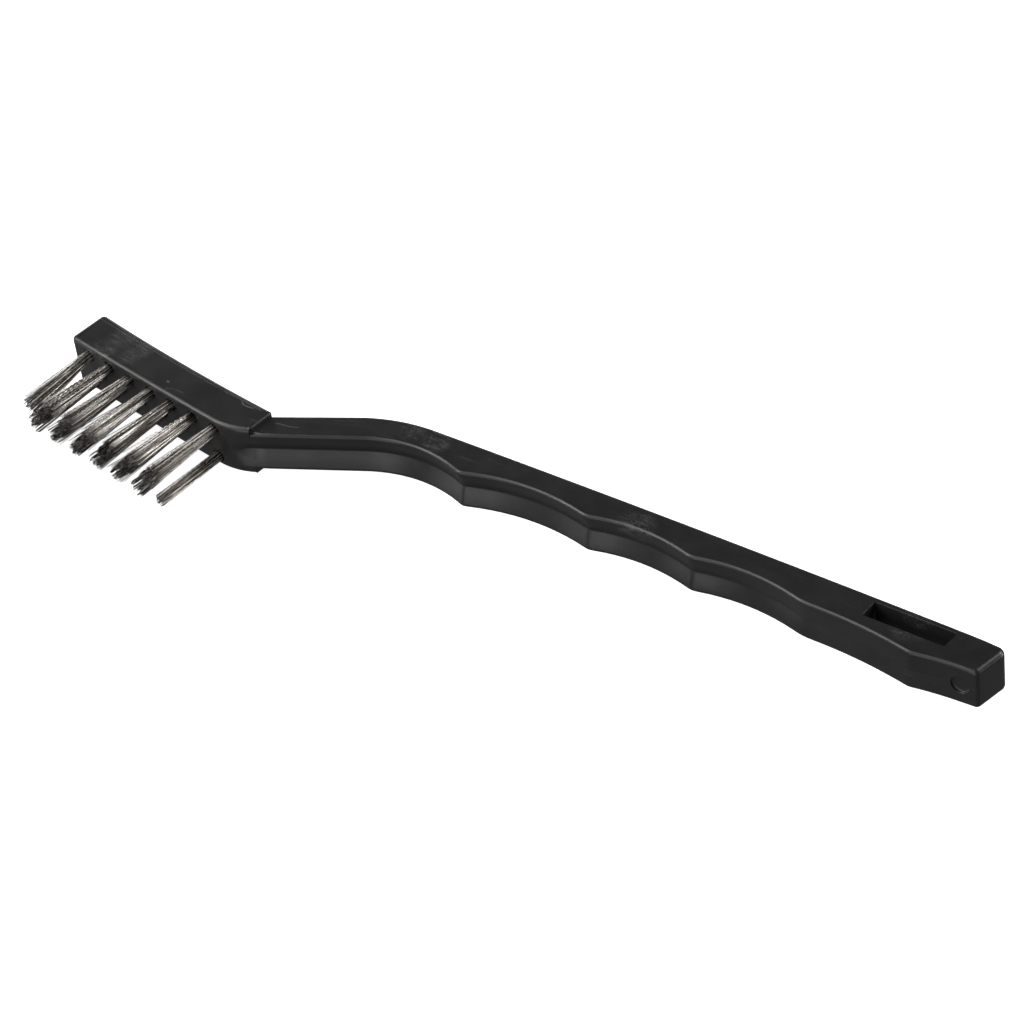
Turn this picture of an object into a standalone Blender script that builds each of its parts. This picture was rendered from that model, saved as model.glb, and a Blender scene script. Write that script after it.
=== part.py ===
"""Toothbrush-style wire scratch brush, lying on its flat side.

One moulded plastic body (head, bent neck, finger-grip handle with a hang slot),
twenty tufts of steel wire folded in half, and twenty flat anchors that pin the
tufts into blind holes in the head.  Metres, +Z up.  +X runs from the head along
the handle, the wire points to -Y, Z is the width of the body.  The origin is at
the bottom centre of the bounding box.
"""
import bpy
import bmesh
import math
from mathutils import Vector, Matrix

MM = 0.001

# ---------------------------------------------------------------- dimensions, mm
# widths (along Z) and edge fillets
HEAD_WIDTH = 10.5
GRIP_WIDTH = 8.2
HEAD_FILLET = 0.65
GRIP_FILLET = 0.45

# head, in its own axes: U along the head, V away from the wire
HEAD_ANGLE = -8.9            # head axis against the handle axis, degrees
HEAD_U0 = -0.2               # free end
HEAD_U1 = 43.7               # end at the neck
HEAD_BACK_V = 0.19           # back face, at the middle of its bow
HEAD_FACE_V = -7.58          # wire face, at the middle of its bow
HEAD_BOW_U = 24.0
HEAD_BACK_BOW = 0.0010       # V = bow * (U - HEAD_BOW_U)^2
HEAD_FACE_BOW = 0.0005
HEAD_CORNER_R = 0.8
HEAD_END_R = 0.72            # back corner at the neck
UNDERSIDE_U = 36.5           # wire face starts to curve up to the neck
UNDERSIDE_R = 13.5

# neck, a straight piece between head and handle
NECK_ANGLE = 26.0            # front line, degrees against the handle axis
NECK_BACK_ANGLE = 25.0       # back line
NECK_BACK_PT = (50.4, -1.92)     # point on the back line, handle axes
NECK_FRONT_PT = (50.4, -8.16)    # point on the front line, handle axes
BEND_BACK_R = 31.5
BEND_FRONT_R = 24.0

# handle back edge: gentle bow
BACK_Y0 = 4.20               # at the bend
BACK_SAGITTA = 0.42
TAIL_TOP = (178.45, 4.47)
TAIL_FRONT = (176.40, -2.62)
TAIL_BACK_R = 1.4
TAIL_FRONT_R = 0.7

# finger grip: ridges between hollows, then the shoulder near the tail
RIDGES = ((79.3, -2.92), (103.8, -1.70), (123.8, -1.72), (144.6, -2.05), (164.6, -3.66))
HOLLOWS = (1.88, 1.50, 1.48, 0.60)       # sagitta of each arc between ridges
TAIL_HOLLOW = 0.33
BEND_APEX = (70.3, -1.12)                # front of the bend

# V channel along the front face, depth at mid width against X
CHANNEL = ((43.0, 1.15), (86.0, 1.15), (104.0, 0.80), (124.0, 0.55), (144.6, 0.38),
           (164.6, 0.20), (180.0, 0.10))
CHANNEL_RUNOUT_U = 40.2                  # where it has faded out under the head

# hang slot and the round mark on the front face at the tail
SLOT_X0, SLOT_X1 = 155.1, 169.5
SLOT_Y0, SLOT_Y1 = 0.05, 3.50
SLOT_CORNER_R = 0.35
MARK_X, MARK_D, MARK_DEPTH = 173.2, 3.3, 0.35

# tufts: three rows, the middle one half a pitch out of step
TUFT_U0 = 4.30
TUFT_PITCH = 5.41
ROW_Z = 3.05
ROWS = (("a", ROW_Z, 7, 0.0), ("b", 0.0, 6, 0.5), ("c", -ROW_Z, 7, 0.0))
HOLE_D = 2.40
HOLE_DEPTH = 5.0
WIRE_FREE = 14.7             # length of wire outside the wire face
TUFT_ROOT_R = 1.06
TUFT_TIP_R = 1.78
FOLD_GAP = 0.30              # half the clear gap that the wire folds round
FOLD_DEPTH = 4.75            # lowest point of the fold below the wire face
ANCHOR_L, ANCHOR_T, ANCHOR_H = 2.9, 0.36, 1.5
ANCHOR_TOP = 2.35            # depth of the anchor's outer edge below the wire face
ANCHOR_TURN = -45.0          # degrees, anchor's long side against the head axis

HOLE_SIDES = 14


# ---------------------------------------------------------------- plane geometry
def line_dir(deg):
    return (math.cos(math.radians(deg)), math.sin(math.radians(deg)))


def rot(p, deg):
    c, s = math.cos(math.radians(deg)), math.sin(math.radians(deg))
    return (p[0] * c - p[1] * s, p[0] * s + p[1] * c)


def sag_arc(a, b, sag, n):
    """Points from a to b (a left out) on an arc whose middle lies sag to the left."""
    ax, ay = a
    bx, by = b
    cx, cy = (ax + bx) / 2, (ay + by) / 2
    dx, dy = bx - ax, by - ay
    c = math.hypot(dx, dy)
    ux, uy = dx / c, dy / c
    nx, ny = -uy, ux
    r = (c * c / 4 + sag * sag) / (2 * abs(sag))
    s = 1.0 if sag > 0 else -1.0
    ox, oy = cx + nx * s * (abs(sag) - r), cy + ny * s * (abs(sag) - r)
    half = math.asin(min(1.0, c / 2 / r))
    pts = []
    for i in range(1, n + 1):
        t = -half + 2 * half * i / n
        px = math.sin(t) * r
        py = math.cos(t) * r * s
        pts.append((ox + ux * px + nx * py, oy + uy * px + ny * py))
    return pts


def round_corner(prev, at, nxt, r, n):
    """Points of a fillet of radius r in the corner at."""
    v1 = Vector((prev[0] - at[0], prev[1] - at[1])).normalized()
    v2 = Vector((nxt[0] - at[0], nxt[1] - at[1])).normalized()
    ang = v1.angle(v2)
    t = r / math.tan(ang / 2)
    p1 = Vector(at) + v1 * t
    bis = (v1 + v2).normalized()
    o = Vector(at) + bis * (r / math.sin(ang / 2))
    a1 = math.atan2(p1.y - o.y, p1.x - o.x)
    p2 = Vector(at) + v2 * t
    a2 = math.atan2(p2.y - o.y, p2.x - o.x)
    d = a2 - a1
    while d > math.pi:
        d -= 2 * math.pi
    while d < -math.pi:
        d += 2 * math.pi
    return [(o.x + r * math.cos(a1 + d * i / n), o.y + r * math.sin(a1 + d * i / n))
            for i in range(n + 1)]


def meet(p, da, q, db):
    """Where the line through p along da meets the line through q along db."""
    det = da[0] * -db[1] + db[0] * da[1]
    t = ((q[0] - p[0]) * -db[1] + db[0] * (q[1] - p[1])) / det
    return (p[0] + da[0] * t, p[1] + da[1] * t)


def channel_depth(x):
    for (x0, d0), (x1, d1) in zip(CHANNEL[:-1], CHANNEL[1:]):
        if x <= x1:
            k = max(0.0, min(1.0, (x - x0) / (x1 - x0)))
            return d0 + (d1 - d0) * k
    return CHANNEL[-1][1]


def head_back(u):
    return HEAD_BACK_V + HEAD_BACK_BOW * (u - HEAD_BOW_U) ** 2


def head_face(u):
    return HEAD_FACE_V + HEAD_FACE_BOW * (u - HEAD_BOW_U) ** 2


# ---------------------------------------------------------------- outlines
def grip_outline(fine=1):
    """Neck and handle, anticlockwise, as (x, y, is_front) in handle axes."""
    nd = line_dir(NECK_ANGLE)
    pts = []
    # start hidden in the head
    for u, v in ((42.1, -0.45), (42.4, -3.6), (43.25, -5.30)):
        x, y = rot((u, v), HEAD_ANGLE)
        pts.append((x, y, False))
    # front line of the neck up to the bend
    bend_c = (BEND_APEX[0], BEND_APEX[1] - BEND_FRONT_R)
    a0 = math.radians(90 + NECK_ANGLE)
    first = (bend_c[0] + BEND_FRONT_R * math.cos(a0), bend_c[1] + BEND_FRONT_R * math.sin(a0))
    start = (44.9, NECK_FRONT_PT[1] + (44.9 - NECK_FRONT_PT[0]) * nd[1] / nd[0])
    # keeps the emerging line just inside the corner of the head
    pts.append((start[0], start[1] + 0.02, True))
    n = 3 * fine
    for i in range(1, n):
        k = i / n
        pts.append((start[0] + (first[0] - start[0]) * k,
                    start[1] + (first[1] - start[1]) * k, True))
    # front of the bend, down to the first ridge
    dx = RIDGES[0][0] - bend_c[0]
    a1 = math.acos(dx / BEND_FRONT_R)
    n = 9 * fine
    for i in range(0, n + 1):
        a = a0 + (a1 - a0) * i / n
        px = bend_c[0] + BEND_FRONT_R * math.cos(a)
        py = bend_c[1] + BEND_FRONT_R * math.sin(a)
        if i == n:
            px, py = RIDGES[0]
        pts.append((px, py, True))
    # hollows
    for (p, q), sag in zip(zip(RIDGES[:-1], RIDGES[1:]), HOLLOWS):
        n = (8 if sag > 1 else 6) * fine
        pts += [(a, b, True) for a, b in sag_arc(p, q, sag, n)]
    tail = sag_arc(RIDGES[-1], TAIL_FRONT, TAIL_HOLLOW, 5 * fine)
    pts += [(a, b, True) for a, b in tail[:-1]]
    # corners of the tail
    nc = 4 * fine
    pts += [(a, b, True) for a, b in round_corner(tail[-2], TAIL_FRONT, TAIL_TOP, TAIL_FRONT_R, nc)]
    bend = meet(NECK_BACK_PT, line_dir(NECK_BACK_ANGLE), (60.0, BACK_Y0), (1.0, 0.0))
    t = BEND_BACK_R * math.tan(math.radians(NECK_BACK_ANGLE) / 2)
    bow0 = (bend[0] + t, BACK_Y0)
    bow = sag_arc(TAIL_TOP, bow0, -BACK_SAGITTA, 9 * fine)
    pts += [(a, b, False) for a, b in round_corner(TAIL_FRONT, TAIL_TOP, bow[0], TAIL_BACK_R, nc + 1)]
    # back edge and back of the bend
    pts += [(a, b, False) for a, b in bow[:-1]]
    o = (bow0[0], BACK_Y0 - BEND_BACK_R)
    n = 7 * fine
    for i in range(0, n + 1):
        a = math.radians(90 + NECK_BACK_ANGLE * i / n)
        pts.append((o[0] + BEND_BACK_R * math.cos(a), o[1] + BEND_BACK_R * math.sin(a), False))
    return pts


def head_outline(fine=1):
    """Head, anticlockwise, as (x, y, run_out) in handle axes."""
    pts = []
    face0 = (HEAD_U0, head_face(HEAD_U0))
    back0 = (HEAD_U0, head_back(HEAD_U0))
    n = 8 * fine
    us = [HEAD_U0 + (UNDERSIDE_U - HEAD_U0) * i / n for i in range(n + 1)]
    nc = 4 * fine
    pts += [(a, b) for a, b in round_corner(back0, face0, (us[1], head_face(us[1])), HEAD_CORNER_R, nc)]
    pts += [(u, head_face(u)) for u in us[1:]]
    # underside, tangent to the wire face
    v0 = head_face(UNDERSIDE_U) + UNDERSIDE_R
    end = math.asin((HEAD_U1 - UNDERSIDE_U) / UNDERSIDE_R)
    n = 7 * fine
    for i in range(1, n + 1):
        a = end * i / n
        pts.append((UNDERSIDE_U + UNDERSIDE_R * math.sin(a), v0 - UNDERSIDE_R * math.cos(a)))
    pts.append((HEAD_U1, -2.4))
    top = (HEAD_U1, head_back(HEAD_U1))
    n = 8 * fine
    ub = [HEAD_U1 + (HEAD_U0 - HEAD_U1) * i / n for i in range(n + 1)]
    pts += round_corner(pts[-1], top, (ub[1], head_back(ub[1])), HEAD_END_R, 3 * fine)
    pts += [(u, head_back(u)) for u in ub[1:-1]]
    pts += round_corner((ub[-2], head_back(ub[-2])), back0, face0, HEAD_CORNER_R, nc)
    out = []
    for u, v in pts:
        run = max(0.0, min(1.0, (u - CHANNEL_RUNOUT_U) / (HEAD_U1 - CHANNEL_RUNOUT_U)))
        if v > -4.9 or u < UNDERSIDE_U:
            run = 0.0
        x, y = rot((u, v), HEAD_ANGLE)
        out.append((x, y, run))
    return out


# ---------------------------------------------------------------- solids
def outward(poly):
    """Mitred outward normals of an anticlockwise outline."""
    n = len(poly)
    out = []
    for i in range(n):
        a, b, c = Vector(poly[i - 1][:2]), Vector(poly[i][:2]), Vector(poly[(i + 1) % n][:2])
        e1, e2 = (b - a).normalized(), (c - b).normalized()
        n1, n2 = Vector((e1.y, -e1.x)), Vector((e2.y, -e2.x))
        m = n1 + n2
        out.append(m / (1.0 + n1.dot(n2)))
    return out


def layered_solid(name, poly, levels):
    """Side walls between level outlines, flat caps.  levels: (z, inset, recess per point)."""
    nrm = outward(poly)
    bm = bmesh.new()
    rings = []
    for z, inset, recess in levels:
        ring = []
        for i, p in enumerate(poly):
            d = inset + recess(i)
            ring.append(bm.verts.new(((p[0] - nrm[i].x * d) * MM,
                                      (p[1] - nrm[i].y * d) * MM, z * MM)))
        rings.append(ring)
    n = len(poly)
    for lo, hi in zip(rings[:-1], rings[1:]):
        for i in range(n):
            j = (i + 1) % n
            bm.faces.new((lo[i], lo[j], hi[j], hi[i]))
    bm.faces.new(list(reversed(rings[0])))
    bm.faces.new(rings[-1])
    bmesh.ops.triangulate(bm, faces=[f for f in bm.faces if len(f.verts) > 4])
    bmesh.ops.recalc_face_normals(bm, faces=bm.faces[:])
    me = bpy.data.meshes.new(name)
    bm.to_mesh(me)
    bm.free()
    return me


def fillet_levels(half, r, recess, mids, steps=2):
    """Levels from -half to +half with quarter-round edges."""
    none = (lambda i: 0.0)
    low = [(-half + r * (1 - math.cos(math.pi / 2 * k / steps)),
            r * (1 - math.sin(math.pi / 2 * k / steps))) for k in range(steps + 1)]
    lv = [(z, ins, none) for z, ins in low]
    lv += [(z, 0.0, recess(z)) for z in mids]
    lv += [(-z, ins, none) for z, ins in reversed(low)]
    return lv


def head_mesh():
    poly = head_outline()
    depth = channel_depth(44.0)
    reach = GRIP_WIDTH / 2 - GRIP_FILLET

    def recess(z):
        k = max(0.0, 1.0 - abs(z) / reach)
        return lambda i: poly[i][2] * depth * k
    return layered_solid("head_block", [p[:2] for p in poly],
                         fillet_levels(HEAD_WIDTH / 2, HEAD_FILLET, recess, (-reach, 0.0, reach)))


def grip_mesh():
    poly = grip_outline()

    def recess(z):
        return lambda i: channel_depth(poly[i][0]) if poly[i][2] else 0.0
    return layered_solid("grip_block", [p[:2] for p in poly],
                         fillet_levels(GRIP_WIDTH / 2, GRIP_FILLET, recess, (0.0,)))


def prism(bm, pts, z0, z1, mat=Matrix()):
    """Closed prism from an anticlockwise outline."""
    lo = [bm.verts.new(mat @ Vector((p[0] * MM, p[1] * MM, z0 * MM))) for p in pts]
    hi = [bm.verts.new(mat @ Vector((p[0] * MM, p[1] * MM, z1 * MM))) for p in pts]
    n = len(pts)
    for i in range(n):
        j = (i + 1) % n
        bm.faces.new((lo[i], lo[j], hi[j], hi[i]))
    bm.faces.new(list(reversed(lo)))
    bm.faces.new(hi)


def slot_mesh():
    c = [(SLOT_X0, SLOT_Y0), (SLOT_X1, SLOT_Y0), (SLOT_X1, SLOT_Y1), (SLOT_X0, SLOT_Y1)]
    pts = []
    for i in range(4):
        pts += round_corner(c[i - 1], c[i], c[(i + 1) % 4], SLOT_CORNER_R, 2)
    bm = bmesh.new()
    prism(bm, pts, -HEAD_WIDTH, HEAD_WIDTH)
    return finish("slot_cutter", bm)


def mark_mesh():
    """Shallow round mark, square to the front face near the tail."""
    arc = sag_arc(RIDGES[-1], TAIL_FRONT, TAIL_HOLLOW, 40)
    i = min(range(1, 39), key=lambda k: abs(arc[k][0] - MARK_X))
    a, b = Vector(arc[i - 1]), Vector(arc[i + 1])
    d = (b - a).normalized()
    n_out = Vector((d.y, -d.x))
    c = Vector(arc[i])
    n = 20
    pts = [(MARK_D / 2 * math.cos(2 * math.pi * k / n), MARK_D / 2 * math.sin(2 * math.pi * k / n))
           for k in range(n)]
    # local x along the face, local y along -Z, local z outwards
    m = Matrix(((d.x, 0.0, n_out.x, c.x * MM), (d.y, 0.0, n_out.y, c.y * MM),
                (0.0, -1.0, 0.0, 0.0), (0.0, 0.0, 0.0, 1.0)))
    bm = bmesh.new()
    depth = MARK_DEPTH + channel_depth(MARK_X)
    prism(bm, pts, -depth, 2.0, m)
    return finish("mark_cutter", bm)


def finish(name, bm):
    bmesh.ops.recalc_face_normals(bm, faces=bm.faces[:])
    me = bpy.data.meshes.new(name)
    bm.to_mesh(me)
    bm.free()
    return me


def tuft_places():
    """(label, u, v, z) of every tuft root on the wire face."""
    out = []
    for row, z, count, shift in ROWS:
        for k in range(count):
            u = TUFT_U0 + TUFT_PITCH * (k + shift)
            out.append(("%s%d" % (row, k + 1), u, head_face(u), z))
    return out


def hole_mesh():
    """One blind hole with the pocket that holds the ends of its anchor.
    Local axes: x along the head, y out of the wire face (negative inside is +y)."""
    bm = bmesh.new()
    n = HOLE_SIDES
    # local z of the prism = into the head
    to_local = Matrix(((1, 0, 0, 0), (0, 0, 1, 0), (0, -1, 0, 0), (0, 0, 0, 1)))
    pts = [(HOLE_D / 2 * math.cos(2 * math.pi * (k + 0.5) / n),
            HOLE_D / 2 * math.sin(2 * math.pi * (k + 0.5) / n)) for k in range(n)]
    prism(bm, pts, -1.5, HOLE_DEPTH, to_local)
    return finish("hole_cutter", bm)


def pocket_mesh():
    bm = bmesh.new()
    to_local = Matrix(((1, 0, 0, 0), (0, 0, 1, 0), (0, -1, 0, 0), (0, 0, 0, 1)))
    l, t = ANCHOR_L / 2 + 0.12, ANCHOR_T / 2 + 0.12
    pts = [rot(p, ANCHOR_TURN) for p in ((-l, -t), (l, -t), (l, t), (-l, t))]
    prism(bm, pts, ANCHOR_TOP - 0.12, ANCHOR_TOP + ANCHOR_H + 0.12, to_local)
    return finish("pocket_cutter", bm)


def section(inner, outer, half, n):
    """D-shaped section: flat side at inner, rounded side reaching outer."""
    pts = [(inner, -half), ]
    for k in range(1, n):
        a = -math.pi / 2 + math.pi * k / n
        pts.append((inner + (outer - inner) * math.cos(a), half * math.sin(a)))
    pts.append((inner, half))
    return pts


def tuft_mesh():
    """A bundle of wire folded in half round its anchor.
    Local y = into the head; the fold lies in the plane of s and y, the anchor is along t."""
    s_dir = rot((0.0, 1.0), ANCHOR_TURN)      # in (x, -z)
    t_dir = rot((1.0, 0.0), ANCHOR_TURN)
    bend = FOLD_DEPTH - TUFT_ROOT_R           # depth where the fold begins
    # legs: (depth below the face, inner, outer, half width)
    leg = [(-WIRE_FREE, 0.26, TUFT_TIP_R, TUFT_TIP_R),
           (-WIRE_FREE * 0.55, 0.28, 1.46, 1.45),
           (-WIRE_FREE * 0.12, 0.30, 1.13, 1.10),
           (0.4, FOLD_GAP, TUFT_ROOT_R, TUFT_ROOT_R * 0.98)]
    fold_y = ANCHOR_TOP + ANCHOR_H - FOLD_GAP * 0.3
    rings = []
    bm = bmesh.new()

    def ring(points):
        rings.append([bm.verts.new(((a * s_dir[0] + t * t_dir[0]) * MM, y * MM,
                                    -(a * s_dir[1] + t * t_dir[1]) * MM)) for a, y, t in points])
    n = 5
    for y, i, o, h in leg:
        ring([(a, y, t) for a, t in section(i, o, h, n)])
    m = 4
    for k in range(m + 1):
        g = math.pi * k / m
        pts = []
        for a, t in section(FOLD_GAP, min(TUFT_ROOT_R, FOLD_DEPTH - fold_y), TUFT_ROOT_R * 0.86, n):
            pts.append((a * math.cos(g), fold_y + a * math.sin(g), t))
        ring(pts)
    for y, i, o, h in reversed(leg):
        ring([(-a, y, t) for a, t in section(i, o, h, n)])
    c = len(rings[0])
    for r0, r1 in zip(rings[:-1], rings[1:]):
        for i in range(c):
            j = (i + 1) % c
            bm.faces.new((r0[i], r0[j], r1[j], r1[i]))
    bm.faces.new(list(reversed(rings[0])))
    bm.faces.new(rings[-1])
    return finish("wire_tuft", bm)


def anchor_mesh():
    bm = bmesh.new()
    to_local = Matrix(((1, 0, 0, 0), (0, 0, 1, 0), (0, -1, 0, 0), (0, 0, 0, 1)))
    l, t = ANCHOR_L / 2, ANCHOR_T / 2
    pts = [rot(p, ANCHOR_TURN) for p in ((-l, -t), (l, -t), (l, t), (-l, t))]
    prism(bm, pts, ANCHOR_TOP, ANCHOR_TOP + ANCHOR_H, to_local)
    return finish("tuft_anchor", bm)


# ---------------------------------------------------------------- scene objects
def material(name, color, rough, metal):
    m = bpy.data.materials.new(name)
    m.use_nodes = True
    b = m.node_tree.nodes["Principled BSDF"]
    b.inputs["Base Color"].default_value = (*color, 1.0)
    b.inputs["Roughness"].default_value = rough
    b.inputs["Metallic"].default_value = metal
    return m


def add(name, me, parent, mat=None, loc=(0, 0, 0), rz=0.0, hidden=False):
    ob = bpy.data.objects.new(name, me)
    bpy.context.scene.collection.objects.link(ob)
    ob.parent = parent
    ob.location = loc
    ob.rotation_euler = (0.0, 0.0, rz)
    if mat and not me.materials:
        me.materials.append(mat)
    if hidden:
        ob.hide_render = True
        ob.display_type = "WIRE"
    return ob


def boolean(ob, cutter, op):
    m = ob.modifiers.new(cutter.name, "BOOLEAN")
    m.operation = op
    m.object = cutter
    m.solver = "EXACT"
    return m


def main():
    for ob in list(bpy.data.objects):
        bpy.data.objects.remove(ob, do_unlink=True)
    frame = bpy.data.objects.new("wire_brush_frame", None)
    bpy.context.scene.collection.objects.link(frame)

    plastic = material("black_plastic", (0.018, 0.018, 0.019), 0.42, 0.0)
    steel = material("steel_wire", (0.56, 0.54, 0.52), 0.35, 1.0)
    clip = material("anchor_steel", (0.50, 0.47, 0.42), 0.40, 1.0)

    body = add("handle_body", head_mesh(), frame, plastic)
    grip = add("grip_block", grip_mesh(), frame, hidden=True)
    boolean(body, grip, "UNION")
    slot = add("slot_cutter", slot_mesh(), frame, hidden=True)
    boolean(body, slot, "DIFFERENCE")
    mark = add("mark_cutter", mark_mesh(), frame, hidden=True)
    boolean(body, mark, "DIFFERENCE")

    # one hole with its anchor pocket, repeated for every tuft
    hole = add("hole_cutter", hole_mesh(), frame, hidden=True)
    pocket = add("pocket_cutter", pocket_mesh(), frame, hidden=True)
    boolean(hole, pocket, "UNION")
    bpy.context.view_layer.update()
    graph = bpy.context.evaluated_depsgraph_get()
    seat = bpy.data.meshes.new_from_object(hole.evaluated_get(graph))
    bpy.data.objects.remove(hole, do_unlink=True)
    bpy.data.objects.remove(pocket, do_unlink=True)
    tuft, anchor = tuft_mesh(), anchor_mesh()
    turn = math.radians(HEAD_ANGLE)
    drill = bmesh.new()
    for label, u, v, z in tuft_places():
        x, y = rot((u, v), HEAD_ANGLE)
        place = Matrix.Translation((x * MM, y * MM, z * MM)) @ Matrix.Rotation(turn, 4, "Z")
        copy = seat.copy()
        copy.transform(place)
        drill.from_mesh(copy)
        bpy.data.meshes.remove(copy)
        add("wire_tuft_" + label, tuft, frame, steel, (x * MM, y * MM, z * MM), turn)
        add("tuft_anchor_" + label, anchor, frame, clip, (x * MM, y * MM, z * MM), turn)
    dme = bpy.data.meshes.new("drill_cutter")
    drill.to_mesh(dme)
    drill.free()
    drill_ob = add("drill_cutter", dme, frame, hidden=True)
    boolean(body, drill_ob, "DIFFERENCE")
    for p in body.data.polygons:
        p.use_smooth = False

    # origin at the bottom centre of the box of all pieces
    lo = [1e9, 1e9, 1e9]
    hi = [-1e9, -1e9, -1e9]
    bpy.context.view_layer.update()
    for ob in frame.children:
        if ob.hide_render and ob.name != "grip_block":
            continue
        for v in ob.data.vertices:
            w = ob.matrix_world @ v.co
            for k in range(3):
                lo[k] = min(lo[k], w[k])
                hi[k] = max(hi[k], w[k])
    frame.location = (-(lo[0] + hi[0]) / 2, -(lo[1] + hi[1]) / 2, -lo[2])
    bpy.context.view_layer.update()


main()
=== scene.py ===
"""Looks for the wire scratch brush: one moulded body, twenty tufts of steel wire
that are each folded round a flat anchor, a pale floor and soft studio light.
Millimetres below are turned into metres with MM."""

import math
import random

import bpy
import bmesh
import numpy as np
from mathutils import Matrix, Quaternion, Vector


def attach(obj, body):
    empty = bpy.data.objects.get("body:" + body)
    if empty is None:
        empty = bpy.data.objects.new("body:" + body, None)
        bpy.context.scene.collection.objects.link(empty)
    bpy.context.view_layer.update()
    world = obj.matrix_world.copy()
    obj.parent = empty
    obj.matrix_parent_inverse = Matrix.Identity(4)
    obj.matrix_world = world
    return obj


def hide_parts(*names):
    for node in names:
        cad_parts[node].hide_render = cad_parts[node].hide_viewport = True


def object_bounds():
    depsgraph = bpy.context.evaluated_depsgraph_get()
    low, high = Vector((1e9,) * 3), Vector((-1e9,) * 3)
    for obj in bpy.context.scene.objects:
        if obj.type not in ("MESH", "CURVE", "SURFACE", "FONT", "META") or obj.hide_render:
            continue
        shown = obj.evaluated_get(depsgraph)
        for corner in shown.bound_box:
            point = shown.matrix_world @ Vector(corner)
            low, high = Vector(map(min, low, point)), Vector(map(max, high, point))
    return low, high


MM = 0.001
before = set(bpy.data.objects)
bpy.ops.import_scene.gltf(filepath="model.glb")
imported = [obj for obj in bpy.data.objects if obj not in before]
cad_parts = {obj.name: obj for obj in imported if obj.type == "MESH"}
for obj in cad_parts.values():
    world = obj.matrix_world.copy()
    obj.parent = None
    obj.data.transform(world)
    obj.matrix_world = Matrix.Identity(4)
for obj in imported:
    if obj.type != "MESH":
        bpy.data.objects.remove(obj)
size_at_load = [list(v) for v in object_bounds()]

# ------------------------------------------------------------------ dimensions, mm
SHIFT = np.array((-88.3923769, 11.56868786, 5.25))      # handle axes to the row frame

HEAD_WIDTH = 10.5
GRIP_WIDTH = 8.2
HEAD_FILLET = 0.95
HEAD_END_FILLET = 0.42       # edge above the neck
GRIP_FILLET = 0.62
HEAD_ANGLE = -8.9
HEAD_U0 = -0.2
HEAD_U1 = 43.7
HEAD_BACK_V = 0.19
HEAD_FACE_V = -7.58
HEAD_BOW_U = 24.0
HEAD_BACK_BOW = 0.0010
HEAD_FACE_BOW = 0.0005
HEAD_CORNER_R = 0.95
HEAD_END_R = 0.85
UNDERSIDE_U = 36.5
UNDERSIDE_R = 13.0
NECK_ANGLE = 26.0
NECK_BACK_ANGLE = 25.0
NECK_BACK_PT = (50.4, -1.92)
NECK_FRONT_PT = (50.4, -8.16)
NECK_X0 = 42.28              # where the neck leaves the head at the front
BEND_BACK_R = 31.5
BEND_FRONT_R = 24.0
BACK_Y0 = 4.20
BACK_SAGITTA = 0.42
TAIL_TOP = (178.45, 4.47)
TAIL_FRONT = (176.40, -2.62)
TAIL_BACK_R = 1.4
TAIL_FRONT_R = 0.95
TAIL_FILLET = 0.95           # edges of the end face
TAIL_DRAFT = 0.38            # how far the end face leans in at the top
RIDGES = ((79.3, -2.92), (103.8, -1.70), (123.8, -1.72), (144.6, -2.05), (164.6, -3.66))
RIDGE_SOFT = (0.50, 0.50, 0.60, 1.10, 0.42)             # how far each ridge is rounded
HOLLOWS = (1.88, 1.50, 1.48, 0.60)
TAIL_HOLLOW = 0.33
BEND_APEX = (70.3, -1.12)
CHANNEL = ((43.0, 1.15), (86.0, 1.15), (104.0, 1.08), (124.0, 0.92), (144.6, 0.58),
           (164.6, 0.20), (180.0, 0.10))
CHANNEL_EDGE = 0.6           # slope of the channel's sides at the edge against the mean slope
CHANNEL_RUNOUT_U = 39.4
SLOT_X0, SLOT_X1 = 155.1, 169.5
SLOT_Y0, SLOT_Y1 = 0.05, 3.50
SLOT_CORNER_R = 0.30
SLOT_SLANT = 0.55
MARK_X, MARK_D, MARK_DEPTH = 173.2, 3.3, 0.35

TUFT_U0 = 4.30
TUFT_PITCH = 5.41
ROW_Z = 3.05
ROWS = (("a", ROW_Z, 7, 0.0), ("b", 0.0, 6, 0.5), ("c", -ROW_Z, 7, 0.0))
HOLE_D = 2.40
HOLE_DEPTH = 5.0
WIRE_FREE = 14.7
TUFT_ROOT_R = 1.06
TUFT_TIP_R = 1.78
FOLD_GAP = 0.30
FOLD_DEPTH = 4.75
ANCHOR_L, ANCHOR_T, ANCHOR_H = 2.9, 0.36, 1.5
ANCHOR_TOP = 2.35
ANCHOR_TURN = -45.0

WIRE_D = 0.15
WIRES = 32                   # folded wires in a tuft, so 64 ends
CRIMP_PITCH = 1.06
LEAN = {"a1": (0.10, -1.65), "c7": (0.35, 0.0), "b6": (0.25, 0.2)}   # bent tufts, tip offset in mm
SPREAD = {"a1": 1.12, "c7": 0.66}
BEADS = {"a2": 0.35, "b2": 0.45, "a3": 0.35, "b3": 0.45, "a6": 0.5}   # tufts whose crimps lie in step


# ------------------------------------------------------------------ plane geometry
def line_dir(deg):
    return (math.cos(math.radians(deg)), math.sin(math.radians(deg)))


def rot(p, deg):
    c, s = math.cos(math.radians(deg)), math.sin(math.radians(deg))
    return (p[0] * c - p[1] * s, p[0] * s + p[1] * c)


def smooth(k):
    k = max(0.0, min(1.0, k))
    return k * k * (3.0 - 2.0 * k)


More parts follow.
